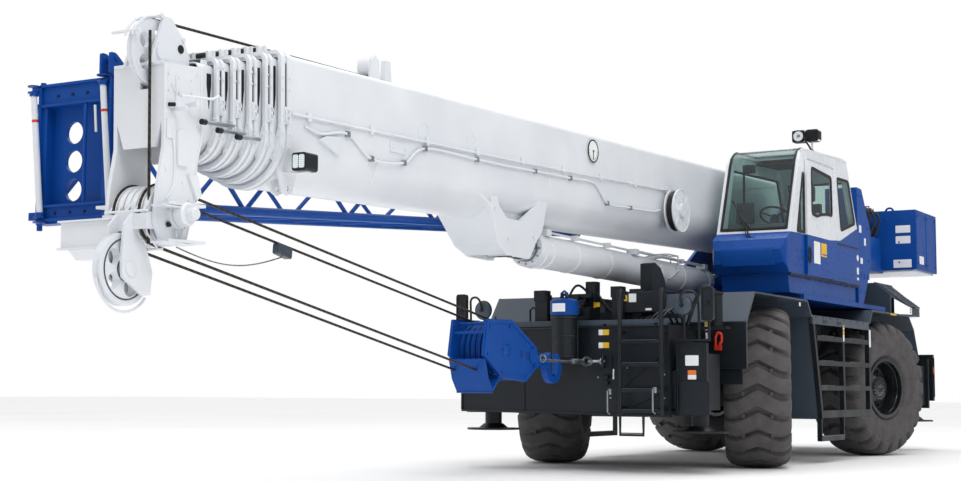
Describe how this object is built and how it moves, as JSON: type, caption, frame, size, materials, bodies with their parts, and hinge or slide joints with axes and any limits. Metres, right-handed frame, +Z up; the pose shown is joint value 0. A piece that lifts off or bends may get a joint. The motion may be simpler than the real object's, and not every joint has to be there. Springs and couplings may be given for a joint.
{
  "type": "mobile crane",
  "caption": "Rough-terrain mobile crane: four steered wheels, outriggers, slewing cab and a telescopic boom stowed over the front.",
  "frame": {"origin": "on the ground, at the middle of the overall length and width", "axes": "+Z up, -Y the way the crane faces, +X its left (cab) side"},
  "size_m": [3.83, 16.6961, 4.152],
  "materials": {
    "boom_white": "satin",
    "crane_blue": "gloss",
    "chassis_black": "satin",
    "fender_grey": "satin",
    "rim_black": "gloss",
    "tyre_rubber": "matte",
    "chrome_rod": "polished",
    "dark_steel": "matte",
    "cast_metal": "matte",
    "seat_cloth": "matte"
  },
  "bodies": {
    "carrier": {"carrier_frame": "chassis_black", "axles": "chassis_black", "outrigger_boxes": "chassis_black", "front_body": "chassis_black", "fenders": "fender_grey", "side_decks": "fender_grey", "side_ladders": "chassis_black", "front_ladder": "chassis_black", "engine_hood": "fender_grey", "engine": "cast_metal", "hook_weight": "chassis_black", "mirrors": "chassis_black", "tail_lamps": "chassis_black"},
    "superstructure": {"turntable": "crane_blue", "counterweight": "crane_blue", "cab_shell": "boom_white", "cab_interior": "seat_cloth", "hydraulic_unit": "cast_metal"},
    "door": {"cab_door": "boom_white"},
    "drum_main": {"winch_main": "crane_blue"},
    "drum_aux": {"winch_aux": "crane_blue"},
    "boom": {"boom_base": "boom_white", "jib": "crane_blue", "jib_brackets": "crane_blue"},
    "section_1": {"boom_section_1": "boom_white"},
    "section_2": {"boom_section_2": "boom_white"},
    "section_3": {"boom_section_3": "boom_white"},
    "section_4": {"boom_section_4": "boom_white"},
    "section_5": {"boom_section_5": "boom_white", "boom_head": "boom_white", "head_sheaves": "dark_steel", "top_sheave": "dark_steel", "tip_bracket": "boom_white", "hoist_ropes": "dark_steel", "hook_block": "crane_blue"},
    "single_sheave": {"tip_sheave": "dark_steel"},
    "barrel": {"lift_barrel": "boom_white"},
    "piston_rod": {"lift_rod": "chrome_rod"},
    "steer_fl": {"knuckle_fl": "chassis_black"},
    "wheel_fl": {"rim_fl": "rim_black", "tyre_fl": "tyre_rubber"},
    "outrigger_fl": {"beam_fl": "chassis_black"},
    "leg_fl": {"jack_fl": "chrome_rod"},
    "steer_fr": {"knuckle_fr": "chassis_black"},
    "wheel_fr": {"rim_fr": "rim_black", "tyre_fr": "tyre_rubber"},
    "outrigger_fr": {"beam_fr": "chassis_black"},
    "leg_fr": {"jack_fr": "chrome_rod"},
    "steer_rl": {"knuckle_rl": "chassis_black"},
    "wheel_rl": {"rim_rl": "rim_black", "tyre_rl": "tyre_rubber"},
    "outrigger_rl": {"beam_rl": "chassis_black"},
    "leg_rl": {"jack_rl": "chrome_rod"},
    "steer_rr": {"knuckle_rr": "chassis_black"},
    "wheel_rr": {"rim_rr": "rim_black", "tyre_rr": "tyre_rubber"},
    "outrigger_rr": {"beam_rr": "chassis_black"},
    "leg_rr": {"jack_rr": "chrome_rod"}
  },
  "joints": [
    {"name": "steer_fl", "type": "hinge", "parent": "carrier", "child": "steer_fl", "pos_m": [1.065, 1.094, 0.926], "axis": [0, 0, 1], "range_deg": [-48, 8]},
    {"name": "roll_fl", "type": "hinge", "parent": "steer_fl", "child": "wheel_fl", "pos_m": [1.28019, 1.17232, 0.926], "axis": [0.9397, 0.342, 0], "continuous": true},
    {"name": "steer_fr", "type": "hinge", "parent": "carrier", "child": "steer_fr", "pos_m": [-1.065, 1.094, 0.926], "axis": [0, 0, 1], "range_deg": [-48, 8]},
    {"name": "roll_fr", "type": "hinge", "parent": "steer_fr", "child": "wheel_fr", "pos_m": [-1.28019, 1.01568, 0.926], "axis": [0.9397, 0.342, 0], "continuous": true},
    {"name": "steer_rl", "type": "hinge", "parent": "carrier", "child": "steer_rl", "pos_m": [1.065, 5.594, 0.926], "axis": [0, 0, 1], "range_deg": [-10, 46]},
    {"name": "roll_rl", "type": "hinge", "parent": "steer_rl", "child": "wheel_rl", "pos_m": [1.28279, 5.52323, 0.926], "axis": [0.9511, -0.309, 0], "continuous": true},
    {"name": "steer_rr", "type": "hinge", "parent": "carrier", "child": "steer_rr", "pos_m": [-1.065, 5.594, 0.926], "axis": [0, 0, 1], "range_deg": [-10, 46]},
    {"name": "roll_rr", "type": "hinge", "parent": "steer_rr", "child": "wheel_rr", "pos_m": [-1.28279, 5.66477, 0.926], "axis": [0.9511, -0.309, 0], "continuous": true},
    {"name": "extend_fl", "type": "slide", "parent": "carrier", "child": "outrigger_fl", "axis": [1, 0, 0], "range_m": [0, 1.7]},
    {"name": "lower_fl", "type": "slide", "parent": "outrigger_fl", "child": "leg_fl", "axis": [0, 0, -1], "range_m": [0, 0.6]},
    {"name": "extend_fr", "type": "slide", "parent": "carrier", "child": "outrigger_fr", "axis": [-1, 0, 0], "range_m": [0, 1.7]},
    {"name": "lower_fr", "type": "slide", "parent": "outrigger_fr", "child": "leg_fr", "axis": [0, 0, -1], "range_m": [0, 0.6]},
    {"name": "extend_rl", "type": "slide", "parent": "carrier", "child": "outrigger_rl", "axis": [1, 0, 0], "range_m": [0, 1.7]},
    {"name": "lower_rl", "type": "slide", "parent": "outrigger_rl", "child": "leg_rl", "axis": [0, 0, -1], "range_m": [0, 0.6]},
    {"name": "extend_rr", "type": "slide", "parent": "carrier", "child": "outrigger_rr", "axis": [-1, 0, 0], "range_m": [0, 1.7]},
    {"name": "lower_rr", "type": "slide", "parent": "outrigger_rr", "child": "leg_rr", "axis": [0, 0, -1], "range_m": [0, 0.6]},
    {"name": "slew", "type": "hinge", "parent": "carrier", "child": "superstructure", "pos_m": [0, 3.794, 2], "axis": [0, 0, 1], "continuous": true},
    {"name": "door_slide", "type": "slide", "parent": "superstructure", "child": "door", "axis": [0, 1, 0], "range_m": [0, 0.95]},
    {"name": "hoist_main", "type": "hinge", "parent": "superstructure", "child": "drum_main", "pos_m": [0, 6.174, 3.06], "axis": [1, 0, 0], "continuous": true},
    {"name": "hoist_aux", "type": "hinge", "parent": "superstructure", "child": "drum_aux", "pos_m": [0, 6.764, 3.11], "axis": [1, 0, 0], "continuous": true},
    {"name": "luff", "type": "hinge", "parent": "superstructure", "child": "boom", "pos_m": [0, 5.144, 3.15], "axis": [-1, 0, 0], "range_deg": [-0.11, 81.39]},
    {"name": "barrel_swing", "type": "hinge", "parent": "superstructure", "child": "barrel", "pos_m": [0, 2.894, 2.262], "axis": [-1, 0, 0], "range_deg": [-0.14, 91.26]},
    {"name": "rod_stroke", "type": "slide", "parent": "barrel", "child": "piston_rod", "axis": [0, -0.9999, 0.0143], "range_m": [-0.005, 2.9366]},
    {"name": "telescope_1", "type": "slide", "parent": "boom", "child": "section_1", "axis": [0, -0.9997, -0.0243], "range_m": [0, 9.58]},
    {"name": "telescope_2", "type": "slide", "parent": "section_1", "child": "section_2", "axis": [0, -0.9997, -0.0243], "range_m": [0, 9.58]},
    {"name": "telescope_3", "type": "slide", "parent": "section_2", "child": "section_3", "axis": [0, -0.9997, -0.0243], "range_m": [0, 9.58]},
    {"name": "telescope_4", "type": "slide", "parent": "section_3", "child": "section_4", "axis": [0, -0.9997, -0.0243], "range_m": [0, 9.58]},
    {"name": "telescope_5", "type": "slide", "parent": "section_4", "child": "section_5", "axis": [0, -0.9997, -0.0243], "range_m": [0, 9.58]},
    {"name": "sheave_spin", "type": "hinge", "parent": "section_5", "child": "single_sheave", "pos_m": [0, -8.09012, 1.71655], "axis": [1, 0, 0], "continuous": true}
  ],
  "couplings": [
    {"joint": "barrel_swing", "follows": "luff", "ratio": 1.1206},
    {"joint": "rod_stroke", "follows": "luff", "m_per_rad": 2.0659},
    {"joint": "telescope_2", "follows": "telescope_1", "ratio": 1},
    {"joint": "telescope_3", "follows": "telescope_1", "ratio": 1},
    {"joint": "telescope_4", "follows": "telescope_1", "ratio": 1},
    {"joint": "telescope_5", "follows": "telescope_1", "ratio": 1}
  ]
}
